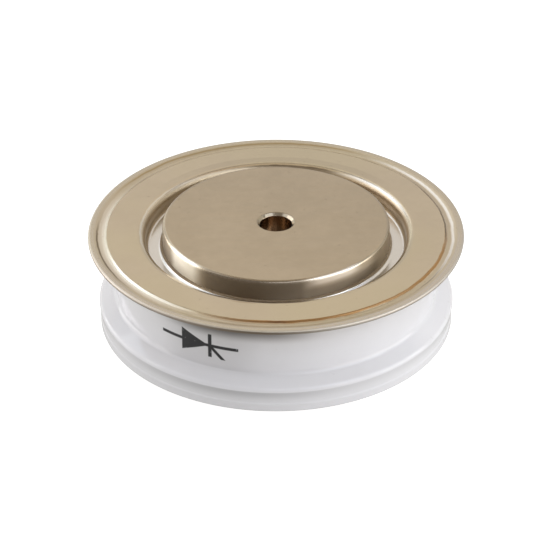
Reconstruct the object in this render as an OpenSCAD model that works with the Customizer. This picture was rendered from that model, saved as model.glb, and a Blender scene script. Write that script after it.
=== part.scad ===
// Disc-type capsule thyristor with a glazed ceramic housing.
// The origin is the centre of the lower contact face and +Z is the way up to the lid.
// The gate terminal points along +Y.

/* [Capsule] */
// Height between the two contact faces
overall_h = 14.4; // [14:0.1:18]
// Diameter of both contact faces
contact_d = 25.4; // [22:0.1:32]
// How far the upper contact face stands above the lid's rim
contact_proud = 1; // [0.6:0.1:1.4]
// How far the lower contact face stands below its flange
base_proud = 2; // [1.6:0.1:2.4]
// Radius of the rounded edges of the pole pieces
pole_edge_r = 0.35; // [0.1:0.05:0.5]
// Width of the shoulder that each pole piece is brazed to its sheet by
shoulder_w = 0.8; // [0.4:0.1:1]

/* [Centring holes] */
// Diameter of the centring hole in each contact face
centring_d = 3.56; // [3:0.02:4.4]
// Depth of each centring hole
centring_depth = 2; // [1.8:0.1:2.2]
// Width of the chamfer round each centring hole
centring_chamfer = 0.3; // [0.1:0.05:0.5]

/* [Lid and weld ring] */
// How far the welded rim stands out from the ceramic's waist
rim_overhang = 3; // [2.7:0.1:4]
// Thickness of each of the two sheets in the rim
sheet_t = 0.25; // [0.15:0.05:0.35]
// Width of the well, from the contact face to its wall
well_w = 1.8; // [1.5:0.05:3]
// Gap between the top of the well's bend and the ceramic
well_clear = 0.1; // [0.05:0.05:1]
// Depth of the well below the rim's top
well_depth = 1.85; // [1.65:0.05:2.3]
// Bend radius at the top of the well, on the visible side
well_bend_r = 1; // [0.4:0.05:1.1]
// Bend radius at the bottom of the well, on the visible side
well_foot_r = 0.4; // [0.1:0.05:0.5]
// Radius of the braze fillet round the upper pole piece's foot in the well
braze_r = 0.35; // [0.1:0.05:0.45]
// Distance from the rim's edge to the middle of the weld groove
groove_inset = 1.5; // [1.2:0.1:1.6]
// Width of the weld groove at the rim's top
groove_w = 1.1; // [0.6:0.1:1.2]
// Depth of the weld groove
groove_depth = 0.2; // [0.1:0.05:0.3]

/* [Ceramic ring] */
// Wall of the ceramic at its waist
ceramic_wall = 2.4; // [2:0.1:4]
// How far the ceramic's rib stands out from its waist
rib_proud = 2; // [1.6:0.1:2.8]
// Height of the straight band at the rib's foot
rib_band_h = 2.5; // [1.6:0.1:2.8]
// Angle of the slope between the rib and the waist
rib_slope = 28; // [15:1:35]
// Radius of the rib's rounded shoulder
rib_shoulder_r = 0.6; // [0.2:0.1:1]
// Radius of the hollow at the foot of the waist
waist_foot_r = 0.9; // [0.3:0.1:1.2]
// Radius of the glazed edges at both ends
glaze_edge_r = 0.2; // [0.1:0.05:0.4]

/* [Base] */
// Thickness of the flange under the ceramic
base_sheet_t = 0.4; // [0.3:0.05:0.6]
// How far the rib's edge stands out from the flange under the ceramic
base_inset = 0.7; // [0.3:0.1:2]

/* [Silicon stack] */
// Thickness of each silver foil
foil_t = 0.1; // [0.05:0.05:0.2]
// Distance from the edge of the silicon's top to the edge of the disc on it
cathode_inset = 1; // [0.8:0.1:1.5]
// Thickness of the lower molybdenum disc
anode_moly_t = 2; // [1.7:0.1:2.2]
// Wall of the ring that centres the lower molybdenum disc
locating_wall = 1.1; // [0.8:0.1:1.5]
// Thickness of the silicon wafer
wafer_t = 0.4; // [0.3:0.05:0.6]
// Width of the ledge that the molybdenum leaves round the silicon
wafer_ledge = 0.4; // [0.2:0.05:0.5]
// Width of the bevel on the wafer's edge
wafer_bevel = 0.6; // [0.3:0.05:0.7]
// Width of the edge coating on top of the silicon
coating_lap = 0.4; // [0.2:0.05:0.5]
// Height of the edge coating above the silicon
coating_rise = 0.25; // [0.1:0.05:0.4]
// Thickness of the upper molybdenum disc
cathode_moly_t = 0.6; // [0.5:0.05:0.8]
// Clearance inside and outside the locating ring
ring_clear = 0.15; // [0.05:0.05:0.25]

/* [Gate contact] */
// Distance from the top of the ceramic down to the gate's axis
gate_drop = 3.8; // [3.6:0.1:4.2]
// Diameter of the pocket for the gate contact in the upper pole piece
pocket_d = 5.6; // [5.2:0.1:6]
// Depth of the pocket
pocket_depth = 3.5; // [3.3:0.1:3.7]
// Wall of the insulating cup in the pocket
cup_wall = 0.5; // [0.3:0.05:0.6]
// Clearance round parts that slide into one another
slide_clear = 0.05; // [0.02:0.01:0.08]
// Width and height of the channel that the gate lead leaves by
channel_w = 1.8; // [1.6:0.1:2]
// Diameter of the contact tip that rests on the silicon
tip_d = 1.8; // [1.2:0.1:2.4]
// Thickness of the head that the spring presses on
head_t = 0.9; // [0.8:0.1:1.1]
// Diameter of the stem inside the spring
stem_d = 1.8; // [1:0.1:2.4]
// Wire diameter of the gate spring
spring_wire_d = 0.32; // [0.24:0.02:0.36]
// Turns of the gate spring
spring_turns = 3; // [2:0.5:3]

/* [Gate terminal] */
// Diameter of the gate lead
lead_d = 0.5; // [0.3:0.05:0.6]
// Wall of the lead's insulating sleeve
sleeve_wall = 0.3; // [0.15:0.05:0.35]
// Diameter of the pin that the gate's plug pushes on to
terminal_d = 1.47; // [1.3:0.01:1.6]
// Diameter of the terminal's root in the ceramic
root_d = 1.8; // [1.7:0.05:2]
// Length of the root outside the eyelet
root_rise = 0.4; // [0.2:0.1:0.8]
// Length of the terminal outside the ceramic's waist
terminal_rise = 7; // [4:0.5:10]
// Length of the terminal's solid tip
terminal_cap = 0.8; // [0.6:0.1:1.2]
// Length of the terminal inside the ceramic's bore
terminal_tail = 0.5; // [0.3:0.1:0.8]
// Diameter of the eyelet brazed round the terminal
eyelet_d = 3; // [2.4:0.1:3.4]
// Height of the eyelet above the ceramic's waist
eyelet_rise = 0.6; // [0.3:0.1:1]
// Depth of the eyelet's seat in the ceramic
eyelet_seat = 0.5; // [0.3:0.1:0.8]
// Radius of the rounded edges of the terminal and the eyelet
terminal_edge_r = 0.2; // [0.1:0.05:0.3]

/* [Hidden] */
$fn = 96;
// Reach of a cutter past the face that it cuts
over = 1;
// Chords in each rounded stretch of the ceramic's outline
arc_steps = 8;

// Radii of the housing, from the contact face out
contact_r = contact_d / 2;
shoulder_r = contact_r + shoulder_w;
well_r = contact_r + well_w;
well_top_r = well_r + well_bend_r;
bore_r = well_top_r + well_clear;
waist_r = bore_r + ceramic_wall;
rib_r = waist_r + rib_proud;
rim_r = waist_r + rim_overhang;
base_r = rib_r - base_inset;

// Heights of the housing, from the lid down
rim_z = overall_h - contact_proud;
seam_z = rim_z - sheet_t;
ceramic_top_z = seam_z - sheet_t;
well_floor_z = rim_z - well_depth;
base_z = base_proud;
ceramic_foot_z = base_z + base_sheet_t;

// Heights of the stack, from the upper pole piece down
gate_z = ceramic_top_z - gate_drop;
cathode_pole_z = gate_z - channel_w / 2;
cathode_foil_z = cathode_pole_z - foil_t;
wafer_top_z = cathode_foil_z - cathode_moly_t;
wafer_z = wafer_top_z - wafer_t;
anode_moly_z = wafer_z - anode_moly_t;
anode_pole_t = anode_moly_z - foil_t;

// Radii of the stack, from the ceramic in
anode_moly_r = bore_r - locating_wall - 2 * ring_clear;
wafer_r = anode_moly_r - wafer_ledge;
wafer_top_r = wafer_r - wafer_bevel;
cathode_r = wafer_top_r - cathode_inset;

// The weld groove is an arc that both sheets follow
groove_r = (groove_w * groove_w / 4 + groove_depth * groove_depth) / (2 * groove_depth);
groove_x = rim_r - groove_inset;
groove_z = rim_z - groove_depth + groove_r;

// The gate contact in its cup, with the spring above its head
pocket_r = pocket_d / 2;
pocket_top_z = cathode_pole_z + pocket_depth;
cup_r = pocket_r - slide_clear;
cup_bore_r = cup_r - cup_wall;
cup_roof_z = pocket_top_z - cup_wall;
head_r = cup_bore_r - 2 * slide_clear;
head_z = gate_z - head_t / 2;
spring_z = gate_z + head_t / 2;
stem_top_z = (spring_z + cup_roof_z) / 2;

// The spring's wire touches the head below and the cup's roof above
spring_wire_r = spring_wire_d / 2;
spring_r = head_r - spring_wire_r - slide_clear;
spring_rise = cup_roof_z - spring_z - spring_wire_d;
spring_dead = 0.3;
spring_steps = 20;
spring_sides = 8;

// The lead runs out along +Y through the channel and the terminal
lead_r = lead_d / 2;
lead_hole_r = lead_r + slide_clear;
lead_y = head_r / 2;
sleeve_r = lead_hole_r + sleeve_wall;
terminal_r = terminal_d / 2;
root_r = root_d / 2;
root_hole_r = root_r + slide_clear;
terminal_y = bore_r - terminal_tail;
terminal_reach = waist_r + terminal_rise;
terminal_cap_y = terminal_reach - terminal_cap;
eyelet_r = eyelet_d / 2;
eyelet_y = waist_r - eyelet_seat;
eyelet_top_y = waist_r + eyelet_rise;
root_top_y = eyelet_top_y + root_rise;

// Points of an arc with centre c, radius r and end angles a0 and a1
function arc(c, r, a0, a1) =
    [for (i = [0 : arc_steps]) let (a = a0 + (a1 - a0) * i / arc_steps) c + r * [cos(a), sin(a)]];

// Section with radii r0 and r1 and heights z0 and z1
module band(r0, r1, z0, z1) {
    translate([r0, z0]) square([r1 - r0, z1 - z0]);
}

// The same with its outer corner rounded, at the top or at the foot
module band_round_top(r0, r1, z0, z1, r) {
    band(r0, r1 - r, z0, z1);
    band(r0, r1, z0, z1 - r);
    translate([r1 - r, z1 - r]) circle(r = r);
}

module band_round_foot(r0, r1, z0, z1, r) {
    band(r0, r1 - r, z0, z1);
    band(r0, r1, z0 + r, z1);
    translate([r1 - r, z0 + r]) circle(r = r);
}

module ring(r0, r1, z0, z1) {
    rotate_extrude() band(r0, r1, z0, z1);
}

// Turns what is drawn along +Z to run along +Y at the gate's height
module along_gate() {
    translate([0, 0, gate_z]) rotate([-90, 0, 0]) children();
}

module gate_rod(r, y0, y1) {
    along_gate() translate([0, 0, y0]) cylinder(r = r, h = y1 - y0);
}

// The outline runs from the foot up the rib, over its shoulder and up the waist
module ceramic_section() {
    shoulder = [rib_r - rib_shoulder_r, ceramic_foot_z + rib_band_h];
    slope_foot = shoulder + rib_shoulder_r * [sin(rib_slope), cos(rib_slope)];
    hollow_x = waist_r + waist_foot_r;
    slope_w = slope_foot[0] - (hollow_x - waist_foot_r * sin(rib_slope));
    hollow_z = slope_foot[1] + slope_w * tan(rib_slope) + waist_foot_r * cos(rib_slope);
    foot = [rib_r - glaze_edge_r, ceramic_foot_z + glaze_edge_r];
    head = [waist_r - glaze_edge_r, ceramic_top_z - glaze_edge_r];
    polygon(concat(
        [[bore_r, ceramic_foot_z]],
        arc(foot, glaze_edge_r, -90, 0),
        arc(shoulder, rib_shoulder_r, 0, 90 - rib_slope),
        arc([hollow_x, hollow_z], waist_foot_r, 270 - rib_slope, 180),
        arc(head, glaze_edge_r, 0, 90),
        [[bore_r, ceramic_top_z]]));
}

module ceramic_ring() {
    color("whitesmoke") difference() {
        rotate_extrude() ceramic_section();
        gate_rod(root_hole_r, bore_r - over, waist_r + over);
        gate_rod(eyelet_r + slide_clear, eyelet_y, waist_r + over);
    }
}

// Pole piece with its contact face at z = 0 and its silicon side at z = thickness
module pole_piece(land_h, thickness) {
    difference() {
        rotate_extrude() {
            band_round_foot(0, contact_r, 0, land_h, pole_edge_r);
            band_round_top(0, shoulder_r, land_h, thickness, pole_edge_r);
        }
        translate([0, 0, -over]) cylinder(d = centring_d, h = centring_depth + over);
        translate([0, 0, -over])
            cylinder(r1 = centring_d / 2 + centring_chamfer + over, r2 = centring_d / 2,
                     h = centring_chamfer + over);
    }
}

module cathode_pole() {
    color("tan") difference() {
        translate([0, 0, overall_h]) mirror([0, 0, 1])
            pole_piece(overall_h - well_floor_z + sheet_t, overall_h - cathode_pole_z);
        translate([0, 0, cathode_pole_z - over]) cylinder(r = pocket_r, h = pocket_depth + over);
        translate([-channel_w / 2, 0, cathode_pole_z - over])
            cube([channel_w, shoulder_r + over, channel_w + over]);
    }
}

module anode_pole() {
    color("tan") pole_piece(ceramic_foot_z, anode_pole_t);
}

// Flat sheet from radius r0 to the rim; level counts the sheets that lie above it
module rim_sheet(r0, level) {
    top_z = rim_z - level * sheet_t;
    foot_z = top_z - sheet_t;
    arc_r = groove_r + level * sheet_t;
    difference() {
        union() {
            band(r0, rim_r - sheet_t / 2, foot_z, top_z);
            translate([rim_r - sheet_t / 2, top_z - sheet_t / 2]) circle(d = sheet_t);
            intersection() {
                translate([groove_x, groove_z]) circle(r = arc_r + sheet_t);
                band(groove_x - groove_w, groove_x + groove_w, foot_z - groove_depth - over, foot_z);
            }
        }
        translate([groove_x, groove_z]) circle(r = arc_r);
    }
}

// Quarter of a bent sheet with centre c; sx and sz say which way it bulges
module sheet_bend(c, r, sx, sz) {
    intersection() {
        translate(c) difference() {
            circle(r = r + sheet_t);
            circle(r = r);
        }
        translate([c[0] + (sx < 0 ? -r - over : 0), c[1] + (sz < 0 ? -r - over : 0)])
            square([r + over, r + over]);
    }
}

module cathode_flange() {
    bend_z = rim_z - well_bend_r;
    foot_z = well_floor_z + well_foot_r;
    foot_x = well_r - well_foot_r;
    color("tan") rotate_extrude() {
        rim_sheet(well_top_r, 0);
        sheet_bend([well_top_r, bend_z], well_bend_r - sheet_t, -1, 1);
        band(well_r, well_r + sheet_t, foot_z, bend_z);
        sheet_bend([foot_x, foot_z], well_foot_r, 1, -1);
        band(contact_r, foot_x, well_floor_z - sheet_t, well_floor_z);
        difference() {
            band(contact_r, contact_r + braze_r, well_floor_z, well_floor_z + braze_r);
            translate([contact_r + braze_r, well_floor_z + braze_r]) circle(r = braze_r);
        }
    }
}

module weld_ring() {
    color("tan") rotate_extrude() rim_sheet(bore_r, 1);
}

module anode_flange() {
    edge_r = base_sheet_t / 2;
    edge_x = base_r - edge_r;
    color("tan") rotate_extrude() {
        band(contact_r, edge_x, base_z, ceramic_foot_z);
        translate([edge_x, base_z + edge_r]) circle(r = edge_r);
    }
}

module anode_foil() {
    color("silver") ring(0, cathode_r, anode_pole_t, anode_moly_z);
}

module anode_moly_disc() {
    color("slategray") ring(0, anode_moly_r, anode_moly_z, wafer_z);
}

module silicon_wafer() {
    color("darkslategray") translate([0, 0, wafer_z])
        cylinder(r1 = wafer_r, r2 = wafer_top_r, h = wafer_t);
}

module edge_coating() {
    lap_r = wafer_top_r - coating_lap;
    top_z = wafer_top_z + coating_rise;
    color("sienna") rotate_extrude()
        polygon([[wafer_r, wafer_z], [anode_moly_r, wafer_z], [anode_moly_r, wafer_z + wafer_t / 2],
                 [wafer_r, top_z], [lap_r, top_z], [lap_r, wafer_top_z], [wafer_top_r, wafer_top_z]]);
}

module cathode_moly_disc() {
    color("slategray") ring(pocket_r, cathode_r, wafer_top_z, cathode_foil_z);
}

module cathode_foil() {
    color("silver") difference() {
        ring(pocket_r, cathode_r, cathode_foil_z, cathode_pole_z);
        translate([-channel_w / 2, 0, cathode_foil_z - over])
            cube([channel_w, cathode_r + over, foil_t + 2 * over]);
    }
}

module locating_ring() {
    color("ivory") ring(anode_moly_r + ring_clear, bore_r - ring_clear, ceramic_foot_z, wafer_top_z);
}

module gate_pin() {
    color("gold") difference() {
        rotate_extrude() {
            band(0, tip_d / 2, wafer_top_z, gate_z);
            band(0, head_r, head_z, spring_z);
            band(0, stem_d / 2, gate_z, stem_top_z);
        }
        gate_rod(lead_hole_r, lead_y, head_r + over);
    }
}

// Height of the spring's wire after t turns, with a dead stretch at each end
function wire_z(t) =
    spring_z + spring_wire_r
    + spring_rise * min(1, max(0, (t - spring_dead) / (spring_turns - 2 * spring_dead)));

// Ring i of the spring's wire
function wire_ring(i) =
    let (t = i / spring_steps, a = 360 * t)
    [for (k = [0 : spring_sides - 1]) let (b = 360 * (k + 0.5) / spring_sides)
        let (r = spring_r + spring_wire_r * cos(b))
        [r * cos(a), r * sin(a), wire_z(t) + spring_wire_r * sin(b)]];

module gate_spring() {
    rings = spring_turns * spring_steps;
    n = spring_sides;
    points = [for (i = [0 : rings]) each wire_ring(i)];
    sides = [for (i = [0 : rings - 1], k = [0 : n - 1])
        let (m = (k + 1) % n)
        each [[i * n + k, i * n + m, (i + 1) * n + m], [i * n + k, (i + 1) * n + m, (i + 1) * n + k]]];
    foot = [[for (k = [0 : n - 1]) n - 1 - k]];
    head = [[for (k = [0 : n - 1]) rings * n + k]];
    color("gray") polyhedron(points = points, faces = concat(sides, foot, head), convexity = 6);
}

module gate_insulator() {
    slot_r = sleeve_r + slide_clear;
    color("ivory") difference() {
        ring(0, cup_r, wafer_top_z, pocket_top_z);
        translate([0, 0, wafer_top_z - over]) cylinder(r = cup_bore_r, h = cup_roof_z - wafer_top_z + over);
        gate_rod(slot_r, 0, cup_r + over);
        translate([-slot_r, 0, wafer_top_z - over])
            cube([2 * slot_r, cup_r + over, gate_z - wafer_top_z + over]);
    }
}

module gate_lead() {
    color("silver") gate_rod(lead_r, lead_y, terminal_cap_y);
}

module gate_lead_sleeve() {
    color("white") difference() {
        gate_rod(sleeve_r, head_r + slide_clear, terminal_y - slide_clear);
        gate_rod(lead_hole_r, 0, terminal_y + over);
    }
}

module gate_tube() {
    color("silver") difference() {
        along_gate() rotate_extrude() {
            band(0, root_r, terminal_y, root_top_y);
            band_round_top(0, terminal_r, root_top_y, terminal_reach, terminal_edge_r);
        }
        gate_rod(lead_hole_r, terminal_y - over, terminal_cap_y);
    }
}

module gate_eyelet() {
    color("silver") difference() {
        along_gate() rotate_extrude()
            band_round_top(0, eyelet_r, eyelet_y, eyelet_top_y, terminal_edge_r);
        gate_rod(root_hole_r, eyelet_y - over, eyelet_top_y + over);
    }
}

ceramic_ring();
cathode_pole();
cathode_flange();
weld_ring();
anode_pole();
anode_flange();
anode_foil();
anode_moly_disc();
silicon_wafer();
edge_coating();
cathode_moly_disc();
cathode_foil();
locating_ring();
gate_pin();
gate_spring();
gate_insulator();
gate_lead();
gate_lead_sleeve();
gate_tube();
gate_eyelet();
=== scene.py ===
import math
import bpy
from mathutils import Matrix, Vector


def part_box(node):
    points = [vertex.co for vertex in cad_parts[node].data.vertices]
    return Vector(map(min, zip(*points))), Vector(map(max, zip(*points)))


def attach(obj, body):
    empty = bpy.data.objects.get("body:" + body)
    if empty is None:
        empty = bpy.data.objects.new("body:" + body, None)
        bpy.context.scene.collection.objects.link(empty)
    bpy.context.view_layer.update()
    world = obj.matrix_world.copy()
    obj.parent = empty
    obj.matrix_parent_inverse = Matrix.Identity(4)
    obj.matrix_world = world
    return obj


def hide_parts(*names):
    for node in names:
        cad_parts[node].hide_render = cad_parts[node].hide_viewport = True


bl_info = {
    "name": "Disc Capsule Thyristor",
    "version": (1, 0, 0),
    "blender": (4, 5, 0),
    "location": "3D Viewport > Sidebar > Capsule",
    "description": "Dresses the frame of a press-pack thyristor with turned pieces and finishes",
    "category": "Add Mesh",
}

import bmesh
import bpy
from bpy.props import FloatProperty, FloatVectorProperty, IntProperty, PointerProperty
from mathutils import Matrix, Vector

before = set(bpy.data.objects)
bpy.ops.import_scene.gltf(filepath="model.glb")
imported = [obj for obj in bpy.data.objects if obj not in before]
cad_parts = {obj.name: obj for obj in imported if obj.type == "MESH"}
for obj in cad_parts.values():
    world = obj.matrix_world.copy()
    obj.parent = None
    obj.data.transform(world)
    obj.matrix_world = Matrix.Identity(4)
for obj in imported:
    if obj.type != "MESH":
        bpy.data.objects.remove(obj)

MM = 0.001
# Length of the holding strip that keeps a flat face flat in the shading next to a rounded edge
HOLD = 0.04 * MM
# Degrees of a profile's arc between two points, and the angle past which an edge is drawn sharp
ARC_STEP = 9
SHARP_ANGLE = math.radians(38)
# Two points of a profile closer than this are one
SAME = 1e-7
# Steps round the gate hole and round the terminal
HOLE_STEPS = 64
PIN_STEPS = 96
# Widths of the softened creases in a centring hole, at its mouth and at the terminal's root
BORE_SOFT = 0.04 * MM
MOUTH_SOFT = 0.06 * MM
ROOT_SOFT = 0.05 * MM
# Depths of the relief of plated metal, of finer metal and plastic, and of the glaze
GRAIN_DEPTH = 0.0012 * MM
FINE_GRAIN_DEPTH = 0.001 * MM
RIPPLE_DEPTH = 0.03 * MM
# Distance from the capsule to each soft box and half the floor's width, in metres
LIGHT_DISTANCE = 0.7
FLOOR_REACH = 3
# Fade of the outline of a stain or of a painted patch of light or shade, in millimetres
PATCH_FADE = 0.08

LID_LOW, LID_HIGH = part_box("cathode_flange")
POLE_LOW, POLE_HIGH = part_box("cathode_pole")
FOOT_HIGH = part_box("anode_pole")[1]
BASE_LOW, BASE_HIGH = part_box("anode_flange")
WALL_LOW, WALL_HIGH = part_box("ceramic_ring")
TUBE_LOW, TUBE_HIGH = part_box("gate_tube")
EYELET_LOW, EYELET_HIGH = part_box("gate_eyelet")
GATE_Z = (TUBE_LOW.z + TUBE_HIGH.z) / 2


# Sizes and colours that a user would change


def length(name, description, default):
    return FloatProperty(name=name, description=description, default=default, unit="LENGTH", precision=5)


def colour(name, description, default):
    return FloatVectorProperty(name=name, description=description, default=default, size=3,
                               subtype="COLOR", min=0, max=1)


class CapsuleSizes(bpy.types.PropertyGroup):
    contact_r: length("Contact radius", "Radius of both contact faces", 12.7 * MM)
    edge_r: length("Pole edge", "Radius of the rounded edges of the pole pieces", 0.4 * MM)
    hole_r: length("Hole radius", "Radius of the centring holes", 1.78 * MM)
    hole_depth: length("Hole depth", "Depth of the centring holes", 2 * MM)
    hole_chamfer: length("Hole chamfer", "Width of the chamfer round the centring holes", 0.3 * MM)
    pocket_r: length("Pocket radius", "Radius of the pocket for the gate contact", 2.8 * MM)
    pocket_depth: length("Pocket depth", "Depth of the pocket for the gate contact", 3.5 * MM)
    channel_w: length("Channel width", "Width and height of the gate lead's channel", 1.8 * MM)
    sheet_t: length("Sheet", "Thickness of the sheets in the rim", 0.25 * MM)
    well_r: length("Well radius", "Radius of the well's visible wall", 14.55 * MM)
    bend_r: length("Well bend", "Bend radius at the top of the well", 0.95 * MM)
    foot_r: length("Well foot", "Bend radius at the bottom of the well", 0.4 * MM)
    braze_r: length("Braze fillet", "Radius of the fillet round the upper pole piece's foot", 0.5 * MM)
    groove_inset: length("Groove inset", "Distance from the rim to the groove's middle", 1.5 * MM)
    groove_w: length("Groove width", "Width of the groove's arc at the rim's top", 1.1 * MM)
    groove_roll: length("Groove roll", "Radius of the roll from the groove to the rim", 1.4 * MM)
    groove_depth: length("Groove depth", "Depth of the groove", 0.22 * MM)
    groove_soft: length("Groove edges", "Width of the groove's softened edges", 0.07 * MM)
    bore_r: length("Ceramic bore", "Radius of the ceramic's bore", 15.6 * MM)
    waist_r: length("Ceramic waist", "Radius of the ceramic's waist", 18 * MM)
    band_h: length("Rib band", "Height of the straight band at the rib's foot", 2.5 * MM)
    slope: FloatProperty(name="Rib slope", description="Angle of the slope above the rib",
                         default=math.radians(24), subtype="ANGLE")
    lip_r: length("Rib lip", "Radius of the rib's lip above the band", 0.55 * MM)
    cove_h: length("Cove height", "Height of the shallow cove under the lip", 1.3 * MM)
    cove_depth: length("Cove depth", "Depth of the cove under the lip", 0.15 * MM)
    band_inset: length("Band inset", "How far the band under the cove stands back from the lip", 0.08 * MM)
    band_step_h: length("Band step", "Height of the soft step from the cove to the band", 0.35 * MM)
    hollow_r: length("Waist hollow", "Radius of the hollow at the foot of the waist", 0.7 * MM)
    glaze_r: length("Glazed edge", "Radius of the ceramic's edges", 0.2 * MM)
    pin_r: length("Gate pin", "Radius of the gate terminal outside the eyelet", 0.735 * MM)
    pin_bore_r: length("Gate bore", "Radius of the bore that the lead is brazed into", 0.3 * MM)
    pin_cap: length("Gate cap", "Length of the terminal's solid tip", 0.8 * MM)
    root_rise: length("Gate root", "Length of the thicker root outside the eyelet", 0.4 * MM)
    gap: length("Clearance", "Clearance round the gate terminal", 0.05 * MM)
    metal_edge_r: length("Gate edges", "Radius of the terminal's and eyelet's edges", 0.2 * MM)
    segments: IntProperty(name="Segments", description="Steps round each turned piece", default=256, min=32)


class CapsuleColours(bpy.types.PropertyGroup):
    nickel: colour("Nickel", "Satin nickel of the lid", (0.604, 0.52, 0.398))
    nickel_pale: colour("Bare nickel", "Nickel in the well, away from the heat tint", (0.76, 0.745, 0.73))
    nickel_pole: colour("Pole nickel", "Nickel on the contact faces", (0.5, 0.422, 0.315))
    heat_tint: colour("Heat tint", "Yellow to brown tint beside the weld", (0.42, 0.22, 0.07))
    # The dark edge's tint is also the tint of painted shade on the lid's lower edge and on the pole pieces'
    # sides
    dark_edge_and_shade: colour("Dark edge", "Tint of the sheared and welded edge", (0.2, 0.155, 0.11))
    glaze: colour("Glaze", "White glaze of the ceramic", (0.8, 0.8, 0.825))
    ink: colour("Ink", "Ink of the printed circuit symbol", (0.012, 0.012, 0.014))


class StageSettings(bpy.types.PropertyGroup):
    lens: FloatProperty(name="Lens", description="Focal length for a 36 mm frame", default=170.18,
                        unit="CAMERA")
    distance: length("Distance", "Distance from the camera to the lid", 290.67 * MM)
    elevation: FloatProperty(name="Elevation", description="Height of the camera above the horizon",
                             default=math.radians(31.775), subtype="ANGLE")
    roll: FloatProperty(name="Roll", description="Turn of the camera about its own axis",
                        default=math.radians(-0.19), subtype="ANGLE")
    aim_right: length("Aim right", "How far the lid's centre lies right of the view's axis", 0.107 * MM)
    aim_up: length("Aim up", "How far the lid's centre lies above the view's axis", 5.1 * MM)
    sky: colour("Sky", "Tint of the even light from all around", (1, 0.92, 0.85))
    sky_strength: FloatProperty(name="Sky strength", description="Strength of the even light", default=0.33,
                                min=0)
    glow: colour("Floor glow", "What the floor sends up to the piece from the middle", (0.32, 0.32, 0.3))
    glow_left: colour("Left glow", "What the floor sends up from the left", (0.8, 0.79, 0.78))
    glow_right: colour("Right glow", "What the floor sends up from the right", (0.45, 0.45, 0.43))


# Turned shapes


def run_to(bm, pen, r, z):
    """Draws a straight stroke of a profile, with a short holding strip at each end."""
    start, end = pen.co.copy(), Vector((r, 0, z))
    span = (end - start).length
    stops = [HOLD / span, 1 - HOLD / span, 1] if span > 4 * HOLD else [1]
    for stop in stops:
        pen = bmesh.ops.extrude_vert_indiv(bm, verts=[pen])["verts"][0]
        pen.co = start.lerp(end, stop)
    return pen


def swing(bm, pen, r, z, degrees):
    """Draws an arc of a profile round the centre (r, z), anticlockwise where degrees is positive."""
    steps = max(2, round(abs(degrees) / ARC_STEP))
    made = bmesh.ops.spin(bm, geom=[pen], cent=(r, 0, z), axis=(0, -1, 0), dvec=(0, 0, 0),
                          angle=math.radians(degrees), steps=steps, use_merge=False, use_duplicate=False)
    return made["geom_last"][0]


def turn(strokes, segments, soft=()):
    """Turns a profile round Z. A stroke is (r, z) for a line or (r, z, degrees) for an arc round that centre.

    The profile is closed unless both its ends lie on the axis. soft holds (r, z, width) of creases to round.
    """
    bm = bmesh.new()
    (r, z), *strokes = strokes
    first = pen = bm.verts.new((r, 0, z))
    for stroke in strokes:
        pen = swing(bm, pen, *stroke) if len(stroke) == 3 else run_to(bm, pen, *stroke)
    if first.co.x > 0 or pen.co.x > HOLD:
        run_to(bm, pen, first.co.x, first.co.z)
    bmesh.ops.remove_doubles(bm, verts=bm.verts, dist=SAME)
    bmesh.ops.spin(bm, geom=bm.verts[:] + bm.edges[:], cent=(0, 0, 0), axis=(0, 0, 1), dvec=(0, 0, 0),
                   angle=math.tau, steps=segments, use_merge=True, use_duplicate=False)
    bmesh.ops.remove_doubles(bm, verts=bm.verts, dist=SAME)
    for r, z, width in soft:
        ring = [e for e in bm.edges if all(abs(v.co.z - z) < SAME and abs(v.co.xy.length - r) < SAME
                                           for v in e.verts)]
        bmesh.ops.bevel(bm, geom=ring, offset=width, offset_type="OFFSET", segments=3, profile=0.5,
                        affect="EDGES", material=-1)
    bmesh.ops.recalc_face_normals(bm, faces=bm.faces)
    return bm


def lay_along_gate(bm):
    """Turns what was drawn along Z to run along Y at the gate's height."""
    place = Matrix.Translation((0, 0, GATE_Z)) @ Matrix.Rotation(math.radians(-90), 4, "X")
    bmesh.ops.transform(bm, matrix=place, verts=bm.verts)
    return bm


def new_object(name, bm):
    """Makes an object of the mesh, shaded smooth but for its sharp edges."""
    for face in bm.faces:
        face.smooth = True
    for edge in bm.edges:
        edge.smooth = edge.calc_face_angle(0) < SHARP_ANGLE
    mesh = bpy.data.meshes.new(name)
    bm.to_mesh(mesh)
    bm.free()
    thing = bpy.data.objects.new(name, mesh)
    bpy.context.scene.collection.objects.link(thing)
    return thing


def cut(thing, cutter_bm):
    """Cuts a shape out of a piece and keeps the result in the piece's own mesh."""
    cutter = new_object("cutter", cutter_bm)
    cutting = thing.modifiers.new("Cut", "BOOLEAN")
    cutting.object = cutter
    cutting.solver = "EXACT"
    result = bpy.data.meshes.new_from_object(thing.evaluated_get(bpy.context.evaluated_depsgraph_get()))
    thing.modifiers.clear()
    old, thing.data = thing.data, result
    result.name = thing.name
    bpy.data.meshes.remove(old)
    bpy.data.objects.remove(cutter)


def finish_piece(thing, material, slot, *nodes):
    """Gives a piece its material, hides the solids that it stands for and hangs it under the root."""
    thing.data.materials.clear()
    thing.data.materials.append(material)
    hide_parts(*nodes)
    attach(thing, "root")


# Node building


def add(tree, kind, feeds=(), **settings):
    """Adds a node, with its settings and what feeds its inputs: a number, a colour or another socket."""
    node = tree.nodes.new(kind)
    for key, value in settings.items():
        setattr(node, key, value)
    for key, value in dict(feeds).items():
        if isinstance(value, bpy.types.NodeSocket):
            tree.links.new(value, node.inputs[key])
        else:
            node.inputs[key].default_value = value
    return node


def calculate(tree, operation, *values):
    """Feeds one to three values to a Math node."""
    return add(tree, "ShaderNodeMath", enumerate(values), operation=operation).outputs[0]


def times(tree, value, *factors):
    for factor in factors:
        value = calculate(tree, "MULTIPLY", value, factor)
    return value


def plus(tree, value, *others):
    for other in others:
        value = calculate(tree, "ADD", value, other)
    return value


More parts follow.
